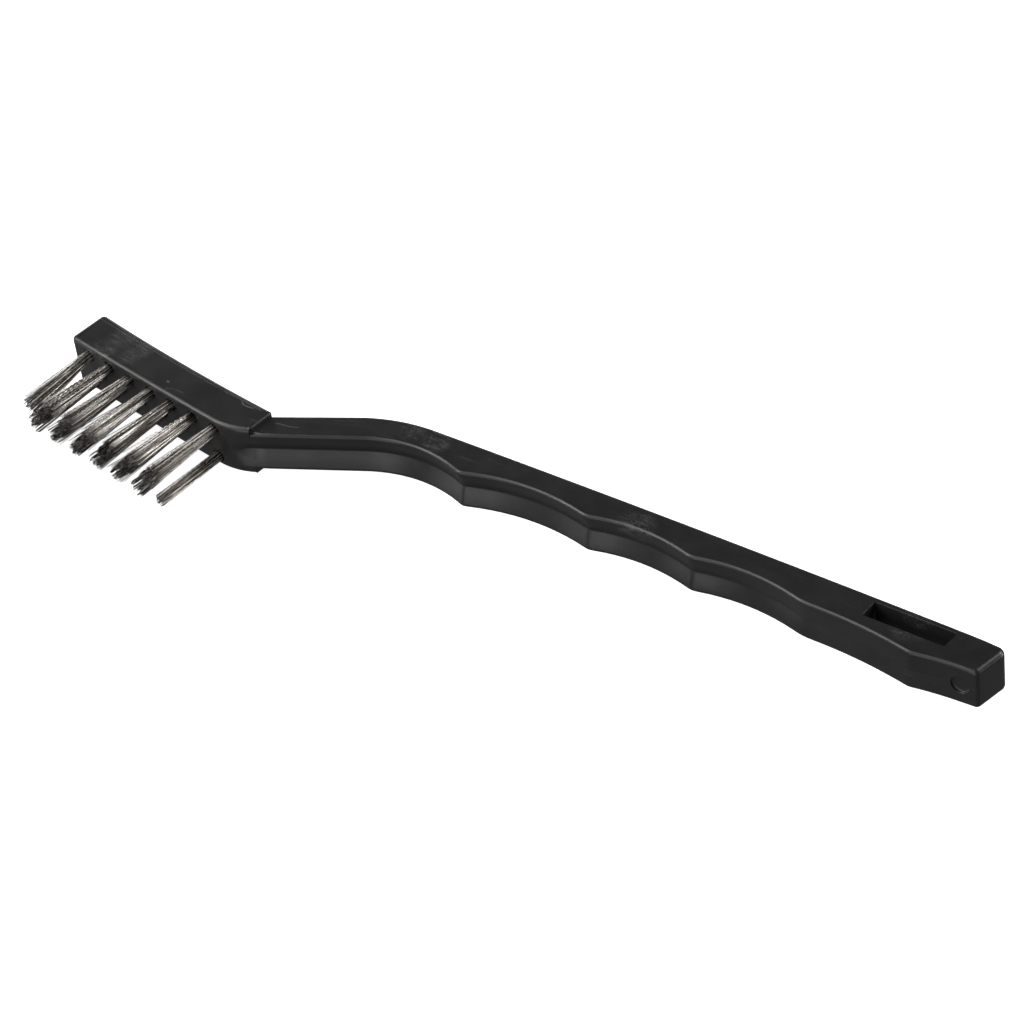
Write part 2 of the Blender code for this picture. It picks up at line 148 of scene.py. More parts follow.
def sag_arc(a, b, sag, n):
    ax, ay = a
    bx, by = b
    cx, cy = (ax + bx) / 2, (ay + by) / 2
    dx, dy = bx - ax, by - ay
    c = math.hypot(dx, dy)
    ux, uy = dx / c, dy / c
    nx, ny = -uy, ux
    r = (c * c / 4 + sag * sag) / (2 * abs(sag))
    s = 1.0 if sag > 0 else -1.0
    ox, oy = cx + nx * s * (abs(sag) - r), cy + ny * s * (abs(sag) - r)
    half = math.asin(min(1.0, c / 2 / r))
    pts = []
    for i in range(1, n + 1):
        t = -half + 2 * half * i / n
        px = math.sin(t) * r
        py = math.cos(t) * r * s
        pts.append((ox + ux * px + nx * py, oy + uy * px + ny * py))
    return pts


def round_corner(prev, at, nxt, r, n):
    v1 = Vector((prev[0] - at[0], prev[1] - at[1])).normalized()
    v2 = Vector((nxt[0] - at[0], nxt[1] - at[1])).normalized()
    ang = v1.angle(v2)
    t = r / math.tan(ang / 2)
    p1 = Vector(at) + v1 * t
    bis = (v1 + v2).normalized()
    o = Vector(at) + bis * (r / math.sin(ang / 2))
    a1 = math.atan2(p1.y - o.y, p1.x - o.x)
    p2 = Vector(at) + v2 * t
    a2 = math.atan2(p2.y - o.y, p2.x - o.x)
    d = a2 - a1
    while d > math.pi:
        d -= 2 * math.pi
    while d < -math.pi:
        d += 2 * math.pi
    return [(o.x + r * math.cos(a1 + d * i / n), o.y + r * math.sin(a1 + d * i / n))
            for i in range(n + 1)]


def meet(p, da, q, db):
    det = da[0] * -db[1] + db[0] * da[1]
    t = ((q[0] - p[0]) * -db[1] + db[0] * (q[1] - p[1])) / det
    return (p[0] + da[0] * t, p[1] + da[1] * t)


def channel_depth(x):
    for (x0, d0), (x1, d1) in zip(CHANNEL[:-1], CHANNEL[1:]):
        if x <= x1:
            k = max(0.0, min(1.0, (x - x0) / (x1 - x0)))
            return d0 + (d1 - d0) * k
    return CHANNEL[-1][1]


def head_back(u):
    return HEAD_BACK_V + HEAD_BACK_BOW * (u - HEAD_BOW_U) ** 2


def head_face(u):
    return HEAD_FACE_V + HEAD_FACE_BOW * (u - HEAD_BOW_U) ** 2


def grip_outline(fine):
    """Neck and handle, anticlockwise, as (x, y, front) in handle axes."""
    nd = line_dir(NECK_ANGLE)
    pts = []
    for u, v, w in ((42.1, -0.45, 0.0), (42.4, -3.2, 0.0), (42.75, -4.75, 1.0)):
        x, y = rot((u, v), HEAD_ANGLE)
        pts.append((x, y, w))
    bend_c = (BEND_APEX[0], BEND_APEX[1] - BEND_FRONT_R)
    a0 = math.radians(90 + NECK_ANGLE)
    first = (bend_c[0] + BEND_FRONT_R * math.cos(a0), bend_c[1] + BEND_FRONT_R * math.sin(a0))
    start = (NECK_X0, NECK_FRONT_PT[1] + (NECK_X0 - NECK_FRONT_PT[0]) * nd[1] / nd[0])
    pts.append((start[0] - 0.06, start[1] + 0.02, 1.0))
    pts.append((start[0], start[1], 1.0))
    n = 4 * fine
    for i in range(1, n):
        k = i / n
        pts.append((start[0] + (first[0] - start[0]) * k,
                    start[1] + (first[1] - start[1]) * k, 1.0))
    dx = RIDGES[0][0] - bend_c[0]
    a1 = math.acos(dx / BEND_FRONT_R)
    n = 9 * fine
    for i in range(0, n + 1):
        a = a0 + (a1 - a0) * i / n
        px = bend_c[0] + BEND_FRONT_R * math.cos(a)
        py = bend_c[1] + BEND_FRONT_R * math.sin(a)
        if i == n:
            px, py = RIDGES[0]
        pts.append((px, py, 1.0))
    for (p, q), sag in zip(zip(RIDGES[:-1], RIDGES[1:]), HOLLOWS):
        pts += [(a, b, 1.0) for a, b in sag_arc(p, q, sag, 8 * fine)]
    tail = sag_arc(RIDGES[-1], TAIL_FRONT, TAIL_HOLLOW, 5 * fine)
    pts += [(a, b, 1.0) for a, b in tail[:-1]]
    # the last point lies a little before the corner, so the corner starts from there
    while len(pts) and pts[-1][0] > TAIL_FRONT[0] - TAIL_FRONT_R * 1.15:
        pts.pop()
    corner = round_corner(pts[-1][:2], TAIL_FRONT, TAIL_TOP, TAIL_FRONT_R, 4 * fine)
    pts += [(a, b, 1.0 - i / (len(corner) - 1)) for i, (a, b) in enumerate(corner)]
    bend = meet(NECK_BACK_PT, line_dir(NECK_BACK_ANGLE), (60.0, BACK_Y0), (1.0, 0.0))
    t = BEND_BACK_R * math.tan(math.radians(NECK_BACK_ANGLE) / 2)
    bow0 = (bend[0] + t, BACK_Y0)
    bow = sag_arc(TAIL_TOP, bow0, -BACK_SAGITTA, 9 * fine)
    while math.hypot(bow[0][0] - TAIL_TOP[0], bow[0][1] - TAIL_TOP[1]) < TAIL_BACK_R * 1.3:
        bow.pop(0)
    pts += [(a, b, 0.0) for a, b in round_corner(TAIL_FRONT, TAIL_TOP, bow[0], TAIL_BACK_R, 5 * fine)]
    pts += [(a, b, 0.0) for a, b in bow[:-1]]
    o = (bow0[0], BACK_Y0 - BEND_BACK_R)
    n = 7 * fine
    for i in range(0, n + 1):
        a = math.radians(90 + NECK_BACK_ANGLE * i / n)
        pts.append((o[0] + BEND_BACK_R * math.cos(a), o[1] + BEND_BACK_R * math.sin(a), 0.0))
    return pts


def head_outline(fine):
    """Head, anticlockwise, as (x, y, run_out) in handle axes."""
    face0 = (HEAD_U0, head_face(HEAD_U0))
    back0 = (HEAD_U0, head_back(HEAD_U0))
    n = 8 * fine
    us = [HEAD_U0 + (UNDERSIDE_U - HEAD_U0) * i / n for i in range(n + 1)]
    us = [u for u in us if u > HEAD_U0 + HEAD_CORNER_R * 1.15]
    nc = 6 * fine
    pts = list(round_corner(back0, face0, (us[0], head_face(us[0])), HEAD_CORNER_R, nc))
    pts += [(u, head_face(u)) for u in us]
    v0 = head_face(UNDERSIDE_U) + UNDERSIDE_R
    end = math.asin((HEAD_U1 - UNDERSIDE_U) / UNDERSIDE_R)
    n = 10 * fine
    for i in range(1, n + 1):
        a = end * i / n
        pts.append((UNDERSIDE_U + UNDERSIDE_R * math.sin(a), v0 - UNDERSIDE_R * math.cos(a)))
    pts += [(HEAD_U1, -5.15), (HEAD_U1, -4.9), (HEAD_U1, -2.4)]
    top = (HEAD_U1, head_back(HEAD_U1))
    n = 8 * fine
    ub = [HEAD_U1 + (HEAD_U0 - HEAD_U1) * i / n for i in range(n + 1)]
    ub = [u for u in ub if HEAD_U0 + HEAD_CORNER_R * 1.15 < u < HEAD_U1 - HEAD_END_R * 1.15]
    pts += round_corner(pts[-1], top, (ub[0], head_back(ub[0])), HEAD_END_R, 4 * fine)
    pts += [(u, head_back(u)) for u in ub]
    pts += round_corner((ub[-1], head_back(ub[-1])), back0, face0, HEAD_CORNER_R, nc)
    out = []
    for u, v in pts:
        run = max(0.0, min(1.0, (u - CHANNEL_RUNOUT_U) / (HEAD_U1 - CHANNEL_RUNOUT_U)))
        if v > -4.9 or u < UNDERSIDE_U:
            run = 0.0
        x, y = rot((u, v), HEAD_ANGLE)
        out.append((x, y, smooth(run)))
    return out


def resample(pts, step):
    """The outline at even steps, as an array, and the weight carried along."""
    a = np.array(pts, float)
    keep = [0]
    for i in range(1, len(a)):
        if np.hypot(*(a[i, :2] - a[keep[-1], :2])) > 1e-4:
            keep.append(i)
    if np.hypot(*(a[keep[-1], :2] - a[0, :2])) < 1e-4:
        keep.pop()
    a = a[keep]
    b = np.vstack((a, a[:1]))
    s = np.concatenate(([0.0], np.cumsum(np.hypot(*(np.diff(b[:, :2], axis=0).T)))))
    n = int(round(s[-1] / step))
    t = np.arange(n) * s[-1] / n
    return np.column_stack([np.interp(t, s, b[:, k]) for k in range(3)])


def soften(a, step):
    """Rounds each ridge of the finger grip by its own amount."""
    out = a.copy()
    n = len(a)
    sig = np.zeros(n)
    for (x, y), w in zip(RIDGES, RIDGE_SOFT):
        d = np.hypot(a[:, 0] - x, a[:, 1] - y)
        sig = np.maximum(sig, w * np.clip(1.6 - d / (2.2 * w), 0.0, 1.0))
    for i in np.nonzero(sig > step)[0]:
        m = int(3 * sig[i] / step) + 1
        k = np.arange(-m, m + 1)
        g = np.exp(-0.5 * (k * step / sig[i]) ** 2)
        out[i, :2] = (a[(i + k) % n, :2] * g[:, None]).sum(0) / g.sum()
    return out


def thin_out(a, turn, longest, always=()):
    """Leaves points where the outline turns, and at least every longest mm."""
    n = len(a)
    d = np.roll(a[:, :2], -1, 0) - a[:, :2]
    ang = np.unwrap(np.arctan2(d[:, 1], d[:, 0]))
    seg = np.hypot(d[:, 0], d[:, 1])
    keep, last, run = [0], ang[0], 0.0
    for i in range(1, n):
        run += seg[i - 1]
        if abs(ang[i] - last) > turn or run > longest or i in always:
            keep.append(i)
            last, run = ang[i], 0.0
    return a[keep]


def outward(p):
    """Mitred outward normals of an anticlockwise outline."""
    e1 = p - np.roll(p, 1, 0)
    e2 = np.roll(p, -1, 0) - p
    e1 /= np.hypot(e1[:, 0], e1[:, 1])[:, None]
    e2 /= np.hypot(e2[:, 0], e2[:, 1])[:, None]
    n1 = np.column_stack((e1[:, 1], -e1[:, 0]))
    n2 = np.column_stack((e2[:, 1], -e2[:, 0]))
    return (n1 + n2) / (1.0 + (n1 * n2).sum(1))[:, None]


def untangle(ring, base):
    """Evens out the few points of an inset ring that would run backwards."""
    ring = ring.copy()
    n = len(ring)
    for _ in range(6):
        step = np.roll(ring, -1, 0) - ring
        want = np.roll(base, -1, 0) - base
        bad = np.nonzero((step * want).sum(1) < 0.05 * (want * want).sum(1))[0]
        if not len(bad):
            break
        for i in bad:
            a, b = ring[i - 1], ring[(i + 2) % n]
            ring[i] = a + (b - a) / 3
            ring[(i + 1) % n] = a + (b - a) * 2 / 3
    return ring


# ------------------------------------------------------------------ mesh helpers
def mesh_of(name, verts, faces):
    me = bpy.data.meshes.new(name)
    me.from_pydata([tuple(v) for v in verts], [], faces)
    me.update()
    return me


def rings_mesh(name, rings):
    """Closed solid through rings of points (mm, handle axes), flat caps."""
    n = len(rings[0])
    bm = bmesh.new()
    rows = []
    for ring in rings:
        rows.append([bm.verts.new(((p + SHIFT) * MM).tolist()) for p in ring])
    for lo, hi in zip(rows[:-1], rows[1:]):
        for i in range(n):
            j = (i + 1) % n
            bm.faces.new((lo[i], lo[j], hi[j], hi[i]))
    bm.faces.new(list(reversed(rows[0])))
    bm.faces.new(rows[-1])
    bmesh.ops.recalc_face_normals(bm, faces=bm.faces[:])
    me = bpy.data.meshes.new(name)
    bm.to_mesh(me)
    bm.free()
    return me


def profile_rings(poly, nrm, half, r, slope, lead, reach, steps=7, crease=0.13):
    """Rings from the bottom cap to the top cap.  The rounded edge of radius r runs on
    tangent into the hollow of the front face, which falls by slope (tan, per point)
    towards the middle, along the directions lead."""
    base = poly.copy()
    ang = np.arctan(slope * CHANNEL_EDGE)
    r = np.broadcast_to(r, len(poly))
    upper = []

    def ring(inset, depth, z):
        p = base - nrm * np.broadcast_to(inset, len(base))[:, None]
        p = untangle(p, base) if np.max(inset) > 0.02 else p
        p = p + lead * np.asarray(depth)[:, None]
        return np.column_stack((p, np.broadcast_to(z, len(p))))
    zero = np.zeros(len(poly))
    upper.append(ring(r + 0.35, zero, half))
    upper.append(ring(r + 0.05, zero, half))
    for k in range(steps + 1):
        th = math.pi / 2 - (math.pi / 2 + ang) * k / steps if reach is None else \
            np.full(len(poly), math.pi / 2 * (1 - k / steps))
        upper.append(ring(r * (1 - np.cos(th)), zero, half - r + r * np.sin(th)))
    if reach is None:
        z1 = half - r - r * np.sin(ang)
        tail_inset = r * (1 - np.cos(ang))
    else:
        z1 = np.full(len(poly), reach)
        tail_inset = zero
        for z in (half - r - 0.06, (half - r + reach) / 2):
            upper.append(ring(zero, zero, z))
        upper.append(ring(zero, zero, reach))

    def fall(z):
        """Depth of the channel at height z: a blunt cusp, steepest at the middle."""
        k = (1 - np.sqrt(z * z + crease ** 2) / z1).clip(0)
        return slope * z1 * (CHANNEL_EDGE * k + (1 - CHANNEL_EDGE) * k * k)
    for k in (0.05, 0.20, 0.35, 0.50, 0.65, 0.78, 0.87, 0.93, 0.97):
        upper.append(ring(tail_inset, fall(z1 * (1 - k)), z1 * (1 - k)))
    middle = ring(tail_inset, fall(zero), zero)
    rings = [r_ * np.array((1, 1, -1)) for r_ in upper]
    return rings + [middle] + list(reversed(upper))


def grip_mesh():
    step = 0.08
    a = soften(resample(grip_outline(6), step), step)
    a = thin_out(a, math.radians(2.6), 2.2)
    # the part that is hidden in the head keeps straight sides
    nrm = outward(a[:, :2])
    front = a[:, 2]
    tail = np.array([smooth((x - 172.5) / 5.0) for x in a[:, 0]])
    depth = np.array([channel_depth(x) for x in a[:, 0]]) * front
    half = GRIP_WIDTH / 2
    slope = depth / (half - GRIP_FILLET)
    turn = np.array([math.radians(NECK_ANGLE) * (1 - smooth((x - 57.0) / 16.0)) for x in a[:, 0]])
    lead = np.column_stack((-np.sin(turn), np.cos(turn)))
    rings = profile_rings(a[:, :2], nrm, half, GRIP_FILLET + tail * (TAIL_FILLET - GRIP_FILLET),
                          slope, lead, None)
    # the end face leans in towards the top
    for ring in rings:
        ring[:, 0] -= tail * TAIL_DRAFT * (ring[:, 2] + half) / (2 * half)
    return rings_mesh("grip_block", rings)


def head_mesh():
    a = np.array(head_outline(5), float)
    keep = [0]
    for i in range(1, len(a)):
        if np.hypot(*(a[i, :2] - a[keep[-1], :2])) > 1e-3:
            keep.append(i)
    if np.hypot(*(a[keep[-1], :2] - a[0, :2])) < 1e-3:
        keep.pop()
    a = a[keep]
    nrm = outward(a[:, :2])
    half = HEAD_WIDTH / 2
    reach = GRIP_WIDTH / 2 - GRIP_FILLET
    slope = a[:, 2] * channel_depth(44.0) / (GRIP_WIDTH / 2 - GRIP_FILLET)
    turn = math.radians(NECK_ANGLE)
    lead = np.tile((-math.sin(turn), math.cos(turn)), (len(a), 1))
    end = np.array([rot(p, -HEAD_ANGLE) for p in a[:, :2]])
    end = np.array([smooth((u - HEAD_U1 + 0.75) / 0.7) if v > -5.3 else 0.0 for u, v in end])
    fillet = HEAD_FILLET + (HEAD_END_FILLET - HEAD_FILLET) * end
    return rings_mesh("head_block", profile_rings(a[:, :2], nrm, half, fillet, slope, lead, reach,
                                                  steps=8))


def slot_mesh():
    """Hang slot with a fine broken edge at both faces."""
    c = [(SLOT_X0 - SLOT_SLANT, SLOT_Y0), (SLOT_X1 - SLOT_SLANT, SLOT_Y0), (SLOT_X1, SLOT_Y1),
         (SLOT_X0 - 0.15, SLOT_Y1)]
    pts = []
    for i in range(4):
        pts += round_corner(c[i - 1], c[i], c[(i + 1) % 4], SLOT_CORNER_R, 6)
    p = np.array(pts)
    nrm = outward(p)
    half = GRIP_WIDTH / 2
    rim = 0.04
    rings = []
    for z, grow in ((-half - 0.4, rim + 0.4), (-half, rim), (-half + 0.4 * rim, 0.35 * rim), (-half + rim, 0.0),
                    (half - rim, 0.0), (half - 0.4 * rim, 0.35 * rim), (half, rim), (half + 0.4, rim + 0.4)):
        rings.append(np.column_stack((p + nrm * grow, np.full(len(p), z))))
    return rings_mesh("slot_cutter", rings)


def lathe(name, profile, n, place):
    """Closed turned shape: profile (radius, along) from one end to the other, local z along."""
    verts, faces = [], []
    for r, h in profile:
        for k in range(n):
            t = 2 * math.pi * (k + 0.5) / n
            verts.append(place @ Vector((r * math.cos(t), r * math.sin(t), h)))
    for i in range(len(profile) - 1):
        for k in range(n):
            j = (k + 1) % n
            faces.append((i * n + k, i * n + j, (i + 1) * n + j, (i + 1) * n + k))
    faces.append(tuple(reversed(range(n))))
    faces.append(tuple((len(profile) - 1) * n + k for k in range(n)))
    return verts, faces


def mark_mesh():
    """Shallow round ejector mark on the front face at the tail."""
    arc = sag_arc(RIDGES[-1], TAIL_FRONT, TAIL_HOLLOW, 40)
    i = min(range(1, 39), key=lambda k: abs(arc[k][0] - MARK_X))
    a, b = Vector(arc[i - 1]), Vector(arc[i + 1])
    d = (b - a).normalized()
    n_out = Vector((d.y, -d.x))
    c = np.array((arc[i][0], arc[i][1], 0.0)) + SHIFT
    m = Matrix(((d.x, 0.0, n_out.x, c[0]), (d.y, 0.0, n_out.y, c[1]),
                (0.0, -1.0, 0.0, c[2]), (0.0, 0.0, 0.0, 1.0)))
    depth = MARK_DEPTH + channel_depth(MARK_X)
    r = MARK_D / 2
    prof = [(r * 0.55, -depth - 0.02), (r * 0.86, -depth), (r * 0.95, -depth + 0.05),
            (r, -depth + 0.14), (r + 0.02, -0.10), (r + 0.10, 0.0), (r + 0.5, 0.35), (r + 0.5, 2.0)]
    v, f = lathe("mark_cutter", prof, 48, m)
    return clean("mark_cutter", [x * MM for x in v], f)


def clean(name, verts, faces):
    bm = bmesh.new()
    bv = [bm.verts.new(tuple(v)) for v in verts]
    for f in faces:
        bm.faces.new([bv[i] for i in f])
    bmesh.ops.recalc_face_normals(bm, faces=bm.faces[:])
    me = bpy.data.meshes.new(name)
    bm.to_mesh(me)
    bm.free()
    return me


def notch_mesh():
    """Short parting notch at the corner where the head's end meets the neck."""
    verts = []
    for z, v_in in ((8.55, -5.36), (9.3, -5.16), (10.9, -4.62)):
        for u, v in ((HEAD_U1 - 0.17, -6.6), (HEAD_U1 + 0.10, -6.6), (HEAD_U1 + 0.06, v_in),
                     (HEAD_U1 - 0.12, v_in)):
            x, y = rot((u, v), HEAD_ANGLE)
            verts.append(Vector((x + SHIFT[0], y + SHIFT[1], z)) * MM)
    faces = [(3, 2, 1, 0), (8, 9, 10, 11)]
    for i in range(2):
        for k in range(4):
            j = (k + 1) % 4
            faces.append((i * 4 + k, i * 4 + j, i * 4 + 4 + j, i * 4 + 4 + k))
    return clean("notch_cutter", verts, faces)


def tuft_places():
    """(label, matrix from tuft axes in mm to the row frame in mm) of every tuft root."""
    out = []
    for row, z, count, shift in ROWS:
        for k in range(count):
            u = TUFT_U0 + TUFT_PITCH * (k + shift)
            x, y = rot((u, head_face(u)), HEAD_ANGLE)
            place = Matrix.Translation(Vector((x + SHIFT[0], y + SHIFT[1], z + SHIFT[2]))) @ \
                Matrix.Rotation(math.radians(HEAD_ANGLE), 4, "Z")
            out.append(("%s%d" % (row, k + 1), place))
    return out


def boolean(ob, cutter, op):
    m = ob.modifiers.new(cutter.name, "BOOLEAN")
    m.operation = op
    m.object = cutter
    m.solver = "EXACT"


def temp(name, me):
    ob = bpy.data.objects.new(name, me)
    bpy.context.scene.collection.objects.link(ob)
    return ob


def bake(ob):
    bpy.context.view_layer.update()
    graph = bpy.context.evaluated_depsgraph_get()
    return bpy.data.meshes.new_from_object(ob.evaluated_get(graph))


def body_mesh():
    head = temp("head_block", head_mesh())
    helpers = [head]

    def use(me, op):
        ob = temp(me.name, me)
        helpers.append(ob)
        boolean(head, ob, op)
    use(grip_mesh(), "UNION")
    use(slot_mesh(), "DIFFERENCE")
    use(mark_mesh(), "DIFFERENCE")
    use(notch_mesh(), "DIFFERENCE")
    # blind holes with the pockets that grip the anchors
    to_local = Matrix(((1, 0, 0, 0), (0, 0, 1, 0), (0, -1, 0, 0), (0, 0, 0, 1)))
    r = HOLE_D / 2
    # the flare runs straight through the head's face: no ring of the cutter lies in that plane
    prof = [(r + 0.43, -0.40), (r, 0.03), (r, HOLE_DEPTH - 0.25), (r - 0.25, HOLE_DEPTH)]
    hv, hf = lathe("hole", prof, 28, to_local)
    l, t = ANCHOR_L / 2 + 0.12, ANCHOR_T / 2 + 0.12
    pk = [rot(p, ANCHOR_TURN) for p in ((-l, -t), (l, -t), (l, t), (-l, t))]
    pv = [to_local @ Vector((x, y, h)) for h in (ANCHOR_TOP - 0.12, ANCHOR_TOP + ANCHOR_H + 0.12)
          for x, y in pk]
    pf = [(0, 1, 5, 4), (1, 2, 6, 5), (2, 3, 7, 6), (3, 0, 4, 7), (3, 2, 1, 0), (4, 5, 6, 7)]
    seat = temp("seat", clean("seat", [v * MM for v in hv], hf))
    pocket = temp("pocket", clean("pocket", [v * MM for v in pv], pf))
    boolean(seat, pocket, "UNION")
    one = bake(seat)
    bm = bmesh.new()
    for label, place in tuft_places():
        copy = one.copy()
        m = place.copy()
        m.translation = m.translation * MM
        copy.transform(m)
        bm.from_mesh(copy)
        bpy.data.meshes.remove(copy)
    drill = bpy.data.meshes.new("drill")
    bm.to_mesh(drill)
    bm.free()
    use(drill, "DIFFERENCE")
    me = bake(head)
    for ob in helpers + [seat, pocket]:
        bpy.data.objects.remove(ob, do_unlink=True)
    bm = bmesh.new()
    bm.from_mesh(me)
    # head and neck meet flush at the front: close the hairline the union leaves there
    seam = Vector(rot((HEAD_U1, -5.4), HEAD_ANGLE)) + Vector(SHIFT[:2])
    near = [v for v in bm.verts if abs(v.co.z / MM - SHIFT[2]) < GRIP_WIDTH / 2 - GRIP_FILLET * 0.6 and
            (v.co.xy / MM - seam).length < 1.6 and
            abs(rot((v.co.x / MM - SHIFT[0], v.co.y / MM - SHIFT[1]), -HEAD_ANGLE)[0] - HEAD_U1) < 0.22]
    bmesh.ops.remove_doubles(bm, verts=near, dist=0.09 * MM)
    bmesh.ops.dissolve_degenerate(bm, dist=2e-6, edges=bm.edges[:])
    bmesh.ops.triangulate(bm, faces=[f for f in bm.faces if len(f.verts) > 4])
    bm.to_mesh(me)
    bm.free()
    me.name = "brush_body"
    me.shade_smooth()
    me.set_sharp_from_angle(angle=math.radians(31))
    return me


# ------------------------------------------------------------------ wire
def pack_half(rng, n, r_max, gap, apart):
    """n places in one D-shaped half of the hole, kept apart from each other."""
    pts = []
    while len(pts) < n:
        a = rng.uniform(gap, r_max)
        t = rng.uniform(-r_max, r_max)
        if a * a + t * t < r_max * r_max:
            pts.append([a, t])
    p = np.array(pts)
    for _ in range(60):
        d = p[:, None] - p[None]
        l = np.sqrt((d ** 2).sum(2)) + np.eye(n) * 9
        push = np.clip(apart - l, 0, None) / l
        p = p + (d * push[..., None]).sum(1) * 0.35
        p[:, 0] = p[:, 0].clip(gap, None)
        rad = np.hypot(p[:, 0], p[:, 1])
        p *= np.minimum(1.0, r_max / rad)[:, None]
        p[:, 0] = p[:, 0].clip(gap, None)
    return p


def tube(path, radius, sides, twist):
    """Closed tube along path: vertices, quads and the two end faces."""
    p = np.asarray(path)
    tan = np.gradient(p, axis=0)
    tan /= np.linalg.norm(tan, axis=1)[:, None]
    u = np.cross(tan[0], (0.31, 0.52, 0.79))
    u /= np.linalg.norm(u)
    us = np.empty_like(p)
    for i in range(len(p)):
        u = u - tan[i] * (u @ tan[i])
        u /= np.sqrt(u @ u)
        us[i] = u
    vs = np.cross(tan, us)
    ang = twist + 2 * np.pi * np.arange(sides) / sides
    ring = us[:, None] * np.cos(ang)[None, :, None] + vs[:, None] * np.sin(ang)[None, :, None]
    verts = (p[:, None] + ring * radius).reshape(-1, 3)
    n = len(p)
    i = np.arange(n - 1)[:, None] * sides
    k = np.arange(sides)[None]
    j = (k + 1) % sides
    quads = np.stack((i + k, i + j, i + sides + j, i + sides + k), -1).reshape(-1, 4)
    return verts, quads, [list(range(sides))[::-1], [(n - 1) * sides + q for q in range(sides)]]


def wire_leg(rng, root, tip, length, crimped, amp, phase, plane, bend):
    """Points of one leg from inside the hole to its cut end, tuft axes, mm."""
    top = 0.4
    span = length + top
    step = CRIMP_PITCH / 6.0 if crimped else span / 17.0
    n = int(round(span / step))
    k = np.arange(1, n + 1) / n
    y = top - span * k
    a = root[0] + (tip[0] - root[0]) * k
    t = root[1] + (tip[1] - root[1]) * k
    env = np.clip((k - 0.03) / 0.10, 0.0, 1.0)
    a = a + env * bend[0] * np.sin(bend[2] + k * bend[3]) * k
    t = t + env * bend[1] * np.sin(bend[4] + k * bend[3]) * k
    if crimped:
        w = 2 * math.pi * (span * k) / CRIMP_PITCH + phase + 0.7 * np.sin(bend[2] + 9.0 * k)
        wave = env * amp * np.sin(w) * (0.75 + 0.25 * np.sin(bend[4] + 7.0 * k))
        a = a + wave * math.cos(plane)
        t = t + wave * math.sin(plane)
    return np.column_stack((a, y, t))


